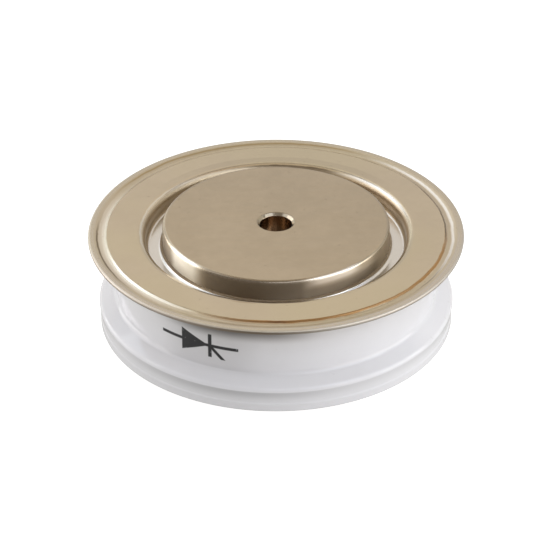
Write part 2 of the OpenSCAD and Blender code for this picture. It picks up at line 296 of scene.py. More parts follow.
def noise(tree, vector, scale, detail=2.0, roughness=0.5, kind="3D"):
    """Makes a noise from 0 to 1. A 1D noise takes a single value in place of a vector."""
    feeds = {"W" if kind == "1D" else "Vector": vector, "Scale": scale, "Detail": detail,
             "Roughness": roughness}
    return add(tree, "ShaderNodeTexNoise", feeds, noise_dimensions=kind).outputs["Fac"]


def ramp(tree, value, low, high, to_low=0.0, to_high=1.0):
    """Leads a value smoothly from to_low at low to to_high at high."""
    feeds = {"Value": value, "From Min": low, "From Max": high, "To Min": to_low, "To Max": to_high}
    return add(tree, "ShaderNodeMapRange", feeds, interpolation_type="SMOOTHSTEP").outputs["Result"]


def blend(tree, mask, first, second):
    """Goes from the first colour to the second by a mask. A colour is three numbers or a socket."""
    node = add(tree, "ShaderNodeMix", {0: mask}, data_type="RGBA")
    for place, value in ((6, first), (7, second)):
        if isinstance(value, bpy.types.NodeSocket):
            tree.links.new(value, node.inputs[place])
        else:
            node.inputs[place].default_value = (*value, 1)
    return node.outputs[2]


def lay_tint(tree, tone, mask, strength, tint):
    """Lays a tint of that strength over a tone where the mask is 1, used both for stains and for painted light
    and shade.
    """
    return blend(tree, times(tree, mask, strength), tone, tint)


def scaled(tint, factor):
    return tuple(c * factor for c in tint)


def new_group(name, inputs, outputs):
    """Starts a shader node group and returns its tree, its inputs' sockets and its output node."""
    tree = bpy.data.node_groups.new(name, "ShaderNodeTree")
    for label, kind, default in inputs:
        socket = tree.interface.new_socket(label, in_out="INPUT", socket_type="NodeSocket" + kind)
        if default is not None:
            socket.default_value = default
    for label in outputs:
        tree.interface.new_socket(label, in_out="OUTPUT", socket_type="NodeSocketFloat")
    source = tree.nodes.new("NodeGroupInput")
    return tree, source.outputs, tree.nodes.new("NodeGroupOutput")


def use(tree, group, **feeds):
    """Places a node group and returns its outputs."""
    node = tree.nodes.new("ShaderNodeGroup")
    node.node_tree = bpy.data.node_groups[group]
    for key, value in feeds.items():
        if isinstance(value, bpy.types.NodeSocket):
            tree.links.new(value, node.inputs[key])
        else:
            node.inputs[key].default_value = value
    return node.outputs


def band(tree, value, low, high, fade):
    """Makes a mask that is 1 between two values and fades at its ends."""
    return use(tree, "Band", Value=value, Low=low, High=high, Fade=fade)[0]


def sector(tree, angle, first, last, fade):
    """Makes a mask between two angles in degrees from the front, positive to the right."""
    return band(tree, angle, math.radians(first), math.radians(last), math.radians(fade))


def build_groups():
    """Builds the effects that several finishes share."""
    # Distance from the capsule's axis and height in millimetres, and the angle from the front
    tree, source, out = new_group("Capsule place", [("Vector", "Vector", None)], ["Radius", "Height", "Angle"])
    x, y, z = add(tree, "ShaderNodeSeparateXYZ", {0: source["Vector"]}).outputs
    square = plus(tree, times(tree, x, x), times(tree, y, y))
    tree.links.new(times(tree, calculate(tree, "SQRT", square), 1 / MM), out.inputs["Radius"])
    tree.links.new(times(tree, z, 1 / MM), out.inputs["Height"])
    tree.links.new(calculate(tree, "ARCTAN2", x, times(tree, y, -1.0)), out.inputs["Angle"])

    # A band of a value with soft ends
    inputs = [("Value", "Float", 0.0), ("Low", "Float", 0.0), ("High", "Float", 1.0), ("Fade", "Float", 0.1)]
    tree, source, out = new_group("Band", inputs, ["Mask"])
    value, fade = source["Value"], source["Fade"]
    rise = ramp(tree, value, calculate(tree, "SUBTRACT", source["Low"], fade), plus(tree, source["Low"], fade))
    fall = ramp(tree, value, calculate(tree, "SUBTRACT", source["High"], fade),
                plus(tree, source["High"], fade), 1.0, 0.0)
    tree.links.new(times(tree, rise, fall), out.inputs["Mask"])

    # Cloudy tarnish: large clouds, small ones inside them and rare specks
    tree, source, out = new_group("Tarnish", [("Vector", "Vector", None), ("Scale", "Float", 100.0)],
                                  ["Clouds", "Specks"])
    vector, scale = source["Vector"], source["Scale"]
    large = noise(tree, vector, scale, 3.0, 0.6)
    small = noise(tree, vector, times(tree, scale, 6.0), 4.0, 0.65)
    clouds = plus(tree, times(tree, large, 0.65), times(tree, small, 0.35))
    tree.links.new(ramp(tree, clouds, 0.32, 0.68), out.inputs["Clouds"])
    specks = noise(tree, vector, times(tree, scale, 14.0), 1.0, 0.5)
    tree.links.new(ramp(tree, specks, 0.72, 0.8), out.inputs["Specks"])

    # Fine grain of rolled and plated metal: streaks along X over an even sparkle
    tree, source, out = new_group("Satin grain", [("Vector", "Vector", None), ("Streaks", "Float", 0.5)],
                                  ["Height", "Shade"])
    vector = source["Vector"]
    stretched = add(tree, "ShaderNodeMapping", {"Vector": vector, "Scale": (0.08, 1, 1)}).outputs[0]
    streak = noise(tree, stretched, 2600.0, 3.0, 0.6)
    even = noise(tree, vector, 5200.0, 2.0, 0.6)
    mix = add(tree, "ShaderNodeMix", {0: source["Streaks"], 2: even, 3: streak}, data_type="FLOAT")
    tree.links.new(mix.outputs[0], out.inputs["Height"])
    tree.links.new(ramp(tree, mix.outputs[0], 0.3, 0.7), out.inputs["Shade"])

    # Circuit symbol of a thyristor, printed round the waist. Its strokes' ends are in millimetres from its
    # middle, across and then up
    inputs = [("Angle", "Float", 0.0), ("Height", "Float", 0.0), ("Radius", "Float", 18.0),
              ("Middle", "Float", -0.5), ("Level", "Float", 9.0), ("Soft", "Float", 0.05)]
    tree, source, out = new_group("Circuit symbol", inputs, ["Mask"])
    across = times(tree, calculate(tree, "SUBTRACT", source["Angle"], source["Middle"]), source["Radius"])
    above = calculate(tree, "SUBTRACT", source["Height"], source["Level"])
    soft = source["Soft"]

    def stroke(left, right, low, high):
        return times(tree, band(tree, across, left, right, soft), band(tree, above, low, high, soft))

    lead = stroke(-4.7, 4.7, -0.19, 0.19)
    bar = stroke(1.25, 1.68, -1.45, 1.45)
    # The triangle narrows from its back to the bar
    reach = calculate(tree, "MULTIPLY_ADD", across, -0.42, 0.57)
    inside = calculate(tree, "SUBTRACT", reach, calculate(tree, "ABSOLUTE", above))
    triangle = times(tree, ramp(tree, inside, times(tree, soft, -1.0), soft),
                     band(tree, across, -2.0, 1.3, soft))
    # The gate leaves the bar downwards at a slant
    slant = calculate(tree, "ABSOLUTE", plus(tree, across, above, -1.45))
    gate = times(tree, ramp(tree, slant, 0.2, 0.33, 1.0, 0.0), band(tree, above, -1.55, 0.0, soft))
    marks = calculate(tree, "MAXIMUM", calculate(tree, "MAXIMUM", lead, bar),
                      calculate(tree, "MAXIMUM", triangle, gate))
    tree.links.new(marks, out.inputs["Mask"])


# Finishes


def new_material(name):
    """Starts a material and returns it, its tree, its shader and its Object coordinates."""
    if "Circuit symbol" not in bpy.data.node_groups:
        build_groups()
    material = bpy.data.materials.new(name)
    material.use_nodes = True
    tree = material.node_tree
    place = tree.nodes.new("ShaderNodeTexCoord").outputs["Object"]
    return material, tree, tree.nodes["Principled BSDF"], place


def set_finish(tree, shader, tone, roughness, metallic, height, depth):
    """Feeds the shader its colour, gloss and relief; depth is in metres."""
    tree.links.new(tone, shader.inputs["Base Color"])
    tree.links.new(roughness, shader.inputs["Roughness"])
    shader.inputs["Metallic"].default_value = metallic
    relief = add(tree, "ShaderNodeBump", {"Height": height, "Strength": 1.0, "Distance": depth})
    tree.links.new(relief.outputs[0], shader.inputs["Normal"])


def pick(colours, tint):
    """Returns a tint, which is three numbers or the name of one of the capsule's colours."""
    return getattr(colours, tint) if isinstance(tint, str) else tint


# Stains of the lid, painted highlights and shade on its groove and well, and greyer and darker patches. Each
# follows a circle: the groove's inner edge, the groove's middle or the well's wall. Then come how far outside
# that circle it starts and ends in millimetres, the two angles that it lies between and their fade in degrees
# from the front, positive to the right, its strength and its tint.
LID_STAINS_AND_PAINTED_LIGHT = (
    # Heat tint along the groove's inner edge, with a dark mark in front
    ("edge", -0.06, 0.14, -45, -16, 10, 0.4, (0.42, 0.34, 0.2)),
    ("edge", -0.1, 0.2, -16, 84, 12, 0.85, "heat_tint"),
    ("edge", -0.04, 0.14, -2, 3, 3, 0.7, (0.2, 0.1, 0.07)),
    # Painted shade: dark lines on the groove's inner wall at the right and on its outer wall at the left and
    # right
    ("edge", -0.05, 0.1, 84, 122, 5, 0.85, (0.13, 0.095, 0.055)),
    ("groove", 0.4, 0.58, -92, -58, 7, 0.85, (0.14, 0.1, 0.06)),
    ("groove", 0.18, 0.34, 52, 80, 6, 0.7, (0.2, 0.15, 0.1)),
    # Greyer on the outer band, from the front to the right
    ("groove", 0.75, 1.7, 8, 90, 14, 0.5, (0.62, 0.58, 0.54)),
    # Painted highlights on the groove at the left, and on its outer wall at the right
    ("edge", 0, 0.28, -118, -32, 10, 0.5, (0.95, 0.9, 0.8)),
    ("edge", 0.32, 0.89, -112, -38, 10, 0.4, (0.92, 0.86, 0.78)),
    ("groove", 0.1, 0.42, 64, 140, 10, 0.65, (0.95, 0.92, 0.88)),
    # Painted shade, brown, on the groove's outer wall at the back
    ("groove", 0.38, 0.6, 152, 200, 10, 0.7, (0.42, 0.3, 0.14)),
    ("groove", 0.38, 0.6, -200, -118, 14, 0.7, (0.42, 0.3, 0.14)),
    # Painted highlight along the top of the well's bend at the left and back left
    ("well", 0.5, 0.72, -140, -76, 8, 0.5, (0.8, 0.78, 0.74)),
    # Painted shade: a dark strip on the well's wall at the back, and brown on it at the right
    ("well", -0.2, 0.45, 152, 200, 6, 0.9, (0.12, 0.09, 0.06)),
    ("well", -0.2, 0.45, -200, -170, 6, 0.9, (0.12, 0.09, 0.06)),
    ("well", -0.2, 0.16, 105, 150, 6, 0.6, (0.4, 0.25, 0.12)),
    # Painted highlight on the well's bend at the right
    ("well", 0.32, 0.62, 105, 146, 8, 0.6, (0.92, 0.9, 0.87)),
    # Greyer on the outer band at the front left
    ("groove", 0.75, 1.7, -70, -22, 14, 0.35, (0.6, 0.54, 0.5)),
    # Darker on the flat beside the well at the back
    ("well", 0.9, 2, 135, 200, 20, 0.25, (0.38, 0.33, 0.25)),
    ("well", 0.9, 2, -200, -135, 20, 0.25, (0.38, 0.33, 0.25)),
    # Brown marks along the well's front edge
    ("well", 0.2, 1.2, -17, -9, 3, 0.35, (0.3, 0.2, 0.11)),
    ("well", 0.2, 0.95, -7, 12, 4, 0.5, (0.26, 0.17, 0.1)),
)


def lid_nickel(sizes, colours):
    """Satin nickel of the lid: tinted annulus, heat-tinted groove and bare well, with painted highlights and
    shade on the groove and the well, and painted shade on the rim's lower edge.
    """
    material, tree, shader, place = new_material("lid_nickel")
    radius, height, angle = use(tree, "Capsule place", Vector=place)
    clouds, specks = use(tree, "Tarnish", Vector=place, Scale=160.0)
    grain, shade = use(tree, "Satin grain", Vector=place, Streaks=0.35)
    rim, top = LID_HIGH.x / MM, LID_HIGH.z / MM
    well = sizes.well_r / MM
    groove = rim - sizes.groove_inset / MM
    edge = groove - sizes.groove_w / MM / 2

    tone = blend(tree, clouds, scaled(colours.nickel, 0.96), scaled(colours.nickel, 1.04))
    tone = lay_tint(tree, tone, shade, 0.1, (0.5, 0.47, 0.41))
    # Broad drifts between a yellower and a greyer plate
    drift = ramp(tree, noise(tree, place, 70.0, 2.0, 0.5), 0.35, 0.65)
    tone = lay_tint(tree, tone, drift, 0.5, (0.61, 0.54, 0.38))
    # The rim outside the groove is greyer. Its rounded edge is duller, and painted shade darkens the lower half
    # of it, most in front
    outside = ramp(tree, radius, groove + 0.6, groove + 1.1)
    tone = lay_tint(tree, tone, outside, 0.6, (0.58, 0.54, 0.47))
    rounded = ramp(tree, radius, rim - 0.3, rim - 0.12)
    lower = times(tree, rounded, ramp(tree, height, top - 0.06, top - 0.18))
    front = calculate(tree, "MULTIPLY_ADD", sector(tree, angle, -44, 14, 16), 0.4, 0.5)
    tone = blend(tree, times(tree, lower, front), tone, scaled(colours.dark_edge_and_shade, 0.8))
    # The outlines of the stains and of the painted patches wander
    wander = calculate(tree, "MULTIPLY_ADD", noise(tree, place, 420.0, 3.0, 0.6), 0.3, -0.15)
    loose = plus(tree, radius, wander)
    circles = {"edge": edge, "groove": groove, "well": well}
    for circle, low, high, first, last, fade, strength, tint in LID_STAINS_AND_PAINTED_LIGHT:
        ring = band(tree, loose, circles[circle] + low, circles[circle] + high, PATCH_FADE)
        spot = times(tree, ring, sector(tree, angle, first, last, fade))
        tone = lay_tint(tree, tone, spot, strength, pick(colours, tint))
    # The well's wall is browner, its floor bare and pale
    wall = times(tree, ramp(tree, radius, well + 0.55, well + 0.15),
                 ramp(tree, radius, well - 0.35, well - 0.15))
    tone = lay_tint(tree, tone, wall, 0.7, (0.5, 0.385, 0.25))
    tone = lay_tint(tree, tone, ramp(tree, radius, well - 0.1, well - 0.3), 0.9, colours.nickel_pale)
    tone = lay_tint(tree, tone, specks, 0.3, colours.dark_edge_and_shade)
    # The rolled rim, the groove's outer wall and the well's wall are duller than the flat
    rolled = band(tree, radius, edge + 0.25, groove + 0.9, 0.2)
    rough = plus(tree, calculate(tree, "MULTIPLY_ADD", clouds, 0.05, 0.2), times(tree, rounded, 0.3),
                 times(tree, wall, 0.2), times(tree, rolled, 0.18))
    set_finish(tree, shader, tone, rough, 1.0, grain, GRAIN_DEPTH)
    return material


# Painted shade and painted highlights round the pole pieces' edges and on their sides: the two angles that each
# lies between and their fade in degrees, the heights above the lid's top between which it grows (mm), its
# strength and its tint
POLE_PAINTED_LIGHT = (
    # Painted shade across the front
    (-39, 14, 3, None, 0.6, "dark_edge_and_shade"),
    # Painted highlight, cream, at the left
    (-64, -43, 4, None, 0.95, (0.98, 0.93, 0.8)),
    # Painted shade at the far left
    (-84, -72, 4, None, 0.3, "dark_edge_and_shade"),
    # Painted highlights at the right, with painted shade below them
    (21, 29, 4, None, 0.2, "nickel"),
    (18, 44, 5, (-0.1, 0.4), 0.75, (0.85, 0.78, 0.68)),
    (14, 62, 5, (0.1, -0.5), 0.5, "dark_edge_and_shade"),
)


def pole_nickel(sizes, colours, turned=False):
    """Lapped nickel of the pole pieces, browner than the lid, with faint streaks and painted shade and
    highlights round their edges and sides; turned is for their sides.
    """
    material, tree, shader, place = new_material("pole_side" if turned else "pole_nickel")
    radius, height, angle = use(tree, "Capsule place", Vector=place)
    clouds, specks = use(tree, "Tarnish", Vector=place, Scale=120.0)
    grain, shade = use(tree, "Satin grain", Vector=place, Streaks=0.7)
    contact, hole, top = sizes.contact_r / MM, sizes.hole_r / MM, LID_HIGH.z / MM

    tone = blend(tree, clouds, scaled(colours.nickel_pole, 0.93), scaled(colours.nickel_pole, 1.06))
    tone = lay_tint(tree, tone, shade, 0.15, (0.46, 0.42, 0.36))
    skirt = ramp(tree, radius, contact - 0.4, contact - 0.15)
    for first, last, fade, heights, strength, tint in POLE_PAINTED_LIGHT:
        spot = sector(tree, angle, first, last, fade)
        if heights:
            spot = times(tree, spot, ramp(tree, height, top + heights[0], top + heights[1]))
        tone = lay_tint(tree, tone, times(tree, skirt, spot), strength, pick(colours, tint))
    # Painted shade darkens the inside of the hole, in brown
    tone = lay_tint(tree, tone, ramp(tree, radius, hole + 0.06, hole), 0.7, (0.28, 0.18, 0.11))
    tone = lay_tint(tree, tone, specks, 0.3, colours.dark_edge_and_shade)
    if turned:
        # Fine turning marks run round the side and spread its gleams upright
        rough = calculate(tree, "MULTIPLY_ADD", clouds, 0.05, 0.42)
        x, y = add(tree, "ShaderNodeSeparateXYZ", {0: place}).outputs[:2]
        around = add(tree, "ShaderNodeCombineXYZ", {"X": times(tree, y, -1.0), "Y": x}).outputs[0]
        tree.links.new(around, shader.inputs["Tangent"])
        shader.inputs["Anisotropic"].default_value = 0.9
        shader.inputs["Anisotropic Rotation"].default_value = 0.25
        marks = noise(tree, height, 11.0, 1.0, 0.5, "1D")
        grain = calculate(tree, "MULTIPLY_ADD", marks, 6.0, grain)
    else:
        rough = calculate(tree, "MULTIPLY_ADD", clouds, 0.05, 0.16)
        rough = calculate(tree, "MULTIPLY_ADD", skirt, 0.08, rough)
    set_finish(tree, shader, tone, rough, 1.0, grain, GRAIN_DEPTH)
    return material


def terminal_nickel():
    """Bright drawn nickel of the gate terminal, its eyelet and the flange under the ceramic, made once."""
    if "terminal_nickel" in bpy.data.materials:
        return bpy.data.materials["terminal_nickel"]
    material, tree, shader, place = new_material("terminal_nickel")
    clouds, specks = use(tree, "Tarnish", Vector=place, Scale=300.0)
    grain, shade = use(tree, "Satin grain", Vector=place, Streaks=0.5)
    tone = blend(tree, clouds, (0.6, 0.54, 0.44), (0.7, 0.66, 0.58))
    tone = lay_tint(tree, tone, specks, 0.3, (0.25, 0.2, 0.15))
    rough = calculate(tree, "MULTIPLY_ADD", shade, 0.1, 0.2)
    set_finish(tree, shader, tone, rough, 1.0, grain, FINE_GRAIN_DEPTH)
    return material


def glazed_alumina(sizes, colours):
    """White glaze with a slight ripple, a few pores, the printed circuit symbol, and painted shade under the
    lip, in the hollow and on the waist's front.
    """
    material, tree, shader, place = new_material("glazed_alumina")
    radius, height, angle = use(tree, "Capsule place", Vector=place)
    clouds, specks = use(tree, "Tarnish", Vector=place, Scale=90.0)
    waist, top = sizes.waist_r / MM, WALL_HIGH.z / MM
    crest = (WALL_LOW.z + sizes.band_h) / MM

    tone = blend(tree, clouds, scaled(colours.glaze, 0.97), colours.glaze)
    tone = lay_tint(tree, tone, specks, 0.12, (0.45, 0.43, 0.4))
    # Painted shade greys the glaze under the lip and in the hollow, most in front
    under = times(tree, ramp(tree, height, crest - sizes.cove_h / MM, crest - 0.15),
                  ramp(tree, height, crest + 0.08, crest - 0.04))
    hollow = band(tree, height, crest + 1.1, crest + 1.5, 0.3)
    front = sector(tree, angle, -38, 8, 24)
    painted_glaze_shade = plus(tree, times(tree, under, calculate(tree, "MULTIPLY_ADD", front, 0.2, 0.08)),
                  times(tree, hollow, calculate(tree, "MULTIPLY_ADD", front, 0.05, 0.03)))
    tone = blend(tree, painted_glaze_shade, tone, (0, 0, 0))
    # Painted shade greys the front of the waist a little, and a brown painted shadow darkens it right under the
    # lid
    on_waist = ramp(tree, radius, waist + 0.2, waist + 0.1)
    painted_front_shade = times(tree, sector(tree, angle, -38, -10, 7), 0.13)
    painted_rim_shadow = times(tree, ramp(tree, height, top - 3.2, top - 1.7), sector(tree, angle, -38, 9, 13))
    painted_waist_shade = calculate(tree, "MULTIPLY_ADD", painted_rim_shadow, 0.72, painted_front_shade)
    tone = blend(tree, times(tree, painted_waist_shade, on_waist), tone, (0.05, 0.035, 0.025))
    # The symbol's ink is worn through in small spots
    mark = use(tree, "Circuit symbol", Angle=angle, Height=height, Radius=waist, Middle=-0.49, Level=8.75)[0]
    worn = ramp(tree, noise(tree, place, 2500.0, 2.0, 0.6), 0.24, 0.34)
    mark = times(tree, mark, worn, on_waist)
    tone = blend(tree, mark, tone, colours.ink)
    shader.inputs["IOR"].default_value = 1.52
    rough = calculate(tree, "MULTIPLY_ADD", mark, 0.3, 0.1)
    ripple = noise(tree, place, 160.0, 1.0, 0.4)
    set_finish(tree, shader, tone, rough, 0.0, ripple, RIPPLE_DEPTH)
    return material


def inner_material(name, dark, light, metallic, rough, scale):
    """Plain finish of a sealed piece: a cloudy tone, a fine grain and an even gloss."""
    material, tree, shader, place = new_material(name)
    clouds = use(tree, "Tarnish", Vector=place, Scale=scale)[0]
    grain, shade = use(tree, "Satin grain", Vector=place, Streaks=0.3)
    tone = blend(tree, clouds, dark, light)
    rough = calculate(tree, "MULTIPLY_ADD", shade, 0.1, rough)
    set_finish(tree, shader, tone, rough, metallic, grain, FINE_GRAIN_DEPTH)
    return material


# Operators


class CAPSULE_OT_ceramic(bpy.types.Operator):
    """Build the glazed ceramic ring with its waist, rib and gate hole"""

    bl_idname = "capsule.ceramic"
    bl_label = "Ceramic ring"

    def execute(self, context):
        s = context.scene.capsule_sizes
        foot, top = WALL_LOW.z, WALL_HIGH.z
        rib = WALL_HIGH.x
        g, slope = s.glaze_r, s.slope
        crest_x, crest_z = rib - s.lip_r, foot + s.band_h
        start_x = crest_x + s.lip_r * math.sin(slope)
        start_z = crest_z + s.lip_r * math.cos(slope)
        # A shallow cove runs under the lip, and a soft step leads from it to the upright band
        lean = 2 * math.atan(s.cove_depth / s.cove_h)
        sweep = s.cove_depth / (1 - math.cos(lean))
        cove, cove_foot = rib - s.cove_depth, crest_z - s.cove_h
        band_x = rib - s.band_inset
        tilt = 2 * math.atan((band_x - cove) / s.band_step_h)
        bow = s.band_step_h / 2 / math.sin(tilt)
        step_foot = cove_foot - s.band_step_h
        hollow_x = s.waist_r + s.hollow_r
        run = start_x - (hollow_x - s.hollow_r * math.sin(slope))
        hollow_z = start_z + run * math.tan(slope) + s.hollow_r * math.cos(slope)
        quarter = 90 - math.degrees(slope)
        bm = turn([(s.bore_r, foot), (band_x - g, foot), (band_x - g, foot + g, 90), (band_x, step_foot),
                   (band_x - bow, step_foot, math.degrees(tilt)), (cove + bow, cove_foot, -math.degrees(tilt)),
                   (cove + sweep - s.lip_r, cove_foot, -math.degrees(lean)),
                   (crest_x, crest_z, math.degrees(lean) + quarter),
                   (hollow_x - s.hollow_r * math.sin(slope), hollow_z - s.hollow_r * math.cos(slope)),
                   (hollow_x, hollow_z, -quarter), (s.waist_r, top - g), (s.waist_r - g, top - g, 90),
                   (s.bore_r, top)], s.segments)
        ring = new_object("ceramic_wall", bm)
        seat, root = EYELET_LOW.y, (TUBE_HIGH.z - TUBE_LOW.z) / 2 + s.gap
        rim = (EYELET_HIGH.x - EYELET_LOW.x) / 2 + s.gap
        past = s.waist_r + MM
        hole = turn([(0, s.bore_r - MM), (root, s.bore_r - MM), (root, seat), (rim, seat), (rim, past),
                     (0, past)], HOLE_STEPS)
        cut(ring, lay_along_gate(hole))
        finish_piece(ring, glazed_alumina(s, context.scene.capsule_colours), "glazed_alumina", "ceramic_ring")
        return {"FINISHED"}


class CAPSULE_OT_lid(bpy.types.Operator):
    """Build the lid's sheet with its well and groove, and the weld ring under it"""

    bl_idname = "capsule.lid"
    bl_label = "Lid and weld ring"

    def execute(self, context):
        s = context.scene.capsule_sizes
        t, rim, top = s.sheet_t, LID_HIGH.x, LID_HIGH.z
        floor = LID_LOW.z + t
        groove_x = rim - s.groove_inset
        arc = (s.groove_w ** 2 / 4 + s.groove_depth ** 2) / (2 * s.groove_depth)
        arc_z = top - s.groove_depth + arc

        # The groove's arc runs into a roll of the opposite bend that ends level with the rim
        turn_over = math.acos(1 - s.groove_depth / (arc + s.groove_roll))
        roll_x = groove_x + (arc + s.groove_roll) * math.sin(turn_over)
        roll_z = top - s.groove_roll
        over = math.degrees(turn_over)

        def groove(level):
            """Half the groove's width and its sweep in degrees, on the face that many sheets down."""
            radius = arc + level * t
            drop = arc - s.groove_depth + level * t
            return math.sqrt(radius ** 2 - drop ** 2), math.degrees(math.acos(drop / radius)) + over

        half_0, sweep_0 = groove(0)
        half_1, sweep_1 = groove(1)
        half_2, sweep_2 = groove(2)
        foot_x, foot_z = s.well_r - s.foot_r, floor + s.foot_r
        bend_x, bend_z = s.well_r + s.bend_r, top - s.bend_r
        bm = turn([(s.contact_r, floor - t), (foot_x, floor - t), (foot_x, foot_z, 90), (s.well_r + t, bend_z),
                   (bend_x, bend_z, -90), (groove_x - half_1, top - t), (groove_x, arc_z, sweep_1),
                   (roll_x, roll_z, -over), (rim, top - t), (rim - t, top - t, 90), (roll_x, top),
                   (roll_x, roll_z, over), (groove_x, arc_z, -sweep_0), (bend_x, top), (bend_x, bend_z, 90),
                   (s.well_r, foot_z), (foot_x, foot_z, -90), (s.contact_r + s.braze_r, floor),
                   (s.contact_r + s.braze_r, floor + s.braze_r, -90)], s.segments,
                  soft=[(groove_x - half_0, top, s.groove_soft)])
        material = lid_nickel(s, context.scene.capsule_colours)
        finish_piece(new_object("lid_sheet", bm), material, "nickel_plate", "cathode_flange")
        seam = top - t
        bm = turn([(s.bore_r, seam - t), (groove_x - half_2, seam - t), (groove_x, arc_z, sweep_2),
                   (roll_x, roll_z, -over), (rim - t, seam - t), (rim - t, seam, 90), (roll_x, seam),
                   (roll_x, roll_z, over), (groove_x, arc_z, -sweep_1), (s.bore_r, seam)], s.segments)
        finish_piece(new_object("weld_sheet", bm), material, "nickel_plate", "weld_ring")
        return {"FINISHED"}


class CAPSULE_OT_poles(bpy.types.Operator):
    """Build both pole pieces with their contact faces and centring holes"""

    bl_idname = "capsule.poles"
    bl_label = "Pole pieces"

    def execute(self, context):
        s = context.scene.capsule_sizes
        e, c = s.edge_r, s.hole_chamfer
        top, shoulder = POLE_HIGH.z, POLE_HIGH.x
        land, back = LID_LOW.z, POLE_LOW.z
        pocket_top = back + s.pocket_depth
        bm = turn([(0, top - s.hole_depth), (s.hole_r, top - s.hole_depth), (s.hole_r, top - c),
                   (s.hole_r + c, top), (s.contact_r - e, top), (s.contact_r - e, top - e, -90),
                   (s.contact_r, land), (shoulder, land), (shoulder, back + e), (shoulder - e, back + e, -90),
                   (s.pocket_r, back), (s.pocket_r, pocket_top), (0, pocket_top)], s.segments,
                  soft=[(s.hole_r, top - c, BORE_SOFT), (s.hole_r + c, top, MOUTH_SOFT)])
        pole = new_object("upper_pole", bm)
        # The channel for the gate lead runs back from the pocket and out through the pole piece's side
        channel = bmesh.new()
        bmesh.ops.create_cube(channel, size=1)
        bmesh.ops.scale(channel, vec=(s.channel_w, shoulder + MM, s.channel_w + MM), verts=channel.verts)
        bmesh.ops.translate(channel, vec=(0, (shoulder + MM) / 2, back + (s.channel_w - MM) / 2),
                            verts=channel.verts)
        cut(pole, channel)
        land, back = BASE_HIGH.z, FOOT_HIGH.z
        bm = turn([(0, s.hole_depth), (s.hole_r, s.hole_depth), (s.hole_r, c), (s.hole_r + c, 0),
                   (s.contact_r - e, 0), (s.contact_r - e, e, 90), (s.contact_r, land), (shoulder, land),
                   (shoulder, back - e), (shoulder - e, back - e, 90), (0, back)], s.segments,
                  soft=[(s.hole_r, c, BORE_SOFT), (s.hole_r + c, 0, MOUTH_SOFT)])
        lower = new_object("lower_pole", bm)
        # The faces at the contact radius and beyond get the turned side's finish
        colours = context.scene.capsule_colours
        material, side = pole_nickel(s, colours), pole_nickel(s, colours, turned=True)
        side_r = s.contact_r - 0.05 * MM
        for piece, node in ((pole, "cathode_pole"), (lower, "anode_pole")):
            finish_piece(piece, material, "nickel_plate", node)
            piece.data.materials.append(side)
            for face in piece.data.polygons:
                face.material_index = int(face.center.xy.length > side_r)
        return {"FINISHED"}


class CAPSULE_OT_base(bpy.types.Operator):
    """Build the flange under the ceramic"""

    bl_idname = "capsule.base"
    bl_label = "Base flange"

    def execute(self, context):
        s = context.scene.capsule_sizes
        low, high = BASE_LOW.z, BASE_HIGH.z
        edge = (high - low) / 2
        edge_x = BASE_HIGH.x - edge
        bm = turn([(s.contact_r, low), (edge_x, low), (edge_x, low + edge, 180), (s.contact_r, high)],
                  s.segments)
        finish_piece(new_object("base_sheet", bm), terminal_nickel(), "nickel_plate", "anode_flange")
        return {"FINISHED"}


class CAPSULE_OT_terminal(bpy.types.Operator):
    """Build the gate terminal and the eyelet that it is brazed into"""

    bl_idname = "capsule.terminal"
    bl_label = "Gate terminal"

    def execute(self, context):
        s = context.scene.capsule_sizes
        e = s.metal_edge_r
        root = (TUBE_HIGH.z - TUBE_LOW.z) / 2
        tail, tip, collar = TUBE_LOW.y, TUBE_HIGH.y, EYELET_HIGH.y
        material = terminal_nickel()
        bm = turn([(0, tip - s.pin_cap), (s.pin_bore_r, tip - s.pin_cap), (s.pin_bore_r, tail), (root, tail),
                   (root, collar + s.root_rise), (s.pin_r, collar + s.root_rise), (s.pin_r, tip - e),
                   (s.pin_r - e, tip - e, 90), (0, tip)], PIN_STEPS,
                  soft=[(root, collar + s.root_rise, ROOT_SOFT)])
        finish_piece(new_object("gate_terminal", lay_along_gate(bm)), material, "nickel", "gate_tube")
        outer = (EYELET_HIGH.x - EYELET_LOW.x) / 2
        bm = turn([(root + s.gap, EYELET_LOW.y), (outer, EYELET_LOW.y), (outer, collar - e),
                   (outer - e, collar - e, 90), (root + s.gap, collar)], PIN_STEPS)
        finish_piece(new_object("gate_collar", lay_along_gate(bm)), material, "nickel", "gate_eyelet")
        return {"FINISHED"}


# Name, two colours, metallic, roughness and clouds' scale of each sealed piece's finish, and who gets it
INNER_FINISHES = (
    ("rolled_silver", (0.72, 0.71, 0.68), (0.86, 0.85, 0.82), 1.0, 0.2, 200.0,
     ("anode_foil", "cathode_foil", "gate_lead")),
    ("lapped_molybdenum", (0.38, 0.38, 0.4), (0.5, 0.5, 0.52), 1.0, 0.3, 200.0,
     ("anode_moly_disc", "cathode_moly_disc")),
    ("polished_silicon", (0.13, 0.14, 0.17), (0.2, 0.21, 0.24), 0.6, 0.12, 90.0, ("silicon_wafer",)),
    ("cast_silicone", (0.3, 0.1, 0.05), (0.42, 0.17, 0.09), 0.0, 0.45, 260.0, ("edge_coating",)),
    ("turned_ptfe", (0.78, 0.78, 0.75), (0.88, 0.88, 0.86), 0.0, 0.4, 220.0,
     ("locating_ring", "gate_insulator", "gate_lead_sleeve")),
    ("plated_brass", (0.7, 0.5, 0.22), (0.85, 0.66, 0.34), 1.0, 0.22, 320.0, ("gate_pin",)),
    ("drawn_steel", (0.42, 0.42, 0.43), (0.56, 0.56, 0.57), 1.0, 0.25, 400.0, ("gate_spring",)),
)


